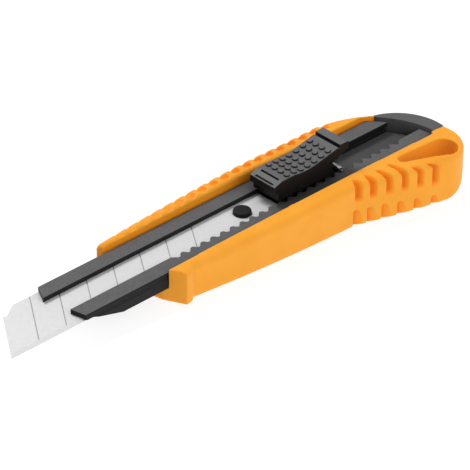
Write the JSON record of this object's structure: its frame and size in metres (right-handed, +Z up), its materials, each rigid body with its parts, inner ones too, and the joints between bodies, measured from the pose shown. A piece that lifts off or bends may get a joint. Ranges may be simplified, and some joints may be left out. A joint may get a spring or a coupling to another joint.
{
  "type": "snap-off utility knife",
  "caption": "Snap-off utility knife: curved plastic handle, dark blade guide with ratchet lip, scored blade on a thumb slider, pull-off end cap.",
  "frame": {"origin": "on the flat underside of the handle, below the blade's centreline, near mid-grip", "axes": "+X along the blade towards the butt, +Y from the cutting edge towards the spine, +Z up through the thumb button"},
  "size_m": [0.1612, 0.0372, 0.0221],
  "materials": {
    "orange_plastic": "satin, lightly grained",
    "black_plastic": "fine matte texture",
    "blade_steel": "ground satin",
    "spring_steel": "rolled, bright"
  },
  "bodies": {
    "handle": {"handle_shell": "orange_plastic", "blade_guide": "black_plastic"},
    "slider": {"blade_holder": "black_plastic", "blade": "blade_steel", "pivot_pin": "black_plastic", "leaf_spring": "spring_steel"},
    "button": {"thumb_button": "black_plastic"},
    "pawl": {"lock_pawl": "black_plastic"},
    "cap": {"end_cap": "black_plastic"}
  },
  "joints": [
    {"name": "slider_slide", "type": "slide", "parent": "handle", "child": "slider", "axis": [1, 0, 0], "range_m": [-0.04368, 0.02548]},
    {"name": "button_tilt", "type": "hinge", "parent": "slider", "child": "button", "pos_m": [0.0257, 0, 0.0117], "axis": [0, -1, 0], "range_deg": [0, 2.5], "stiffness_Nm_per_rad": 0.6, "springref_deg": 2.5},
    {"name": "pawl_slide", "type": "slide", "parent": "slider", "child": "pawl", "axis": [0, -1, 0], "range_m": [0, 0.0014]},
    {"name": "cap_pull", "type": "slide", "parent": "handle", "child": "cap", "axis": [1, 0, 0], "range_m": [0, 0.016]}
  ],
  "couplings": [
    {"joint": "pawl_slide", "follows": "button_tilt", "m_per_rad": 0.03205}
  ]
}
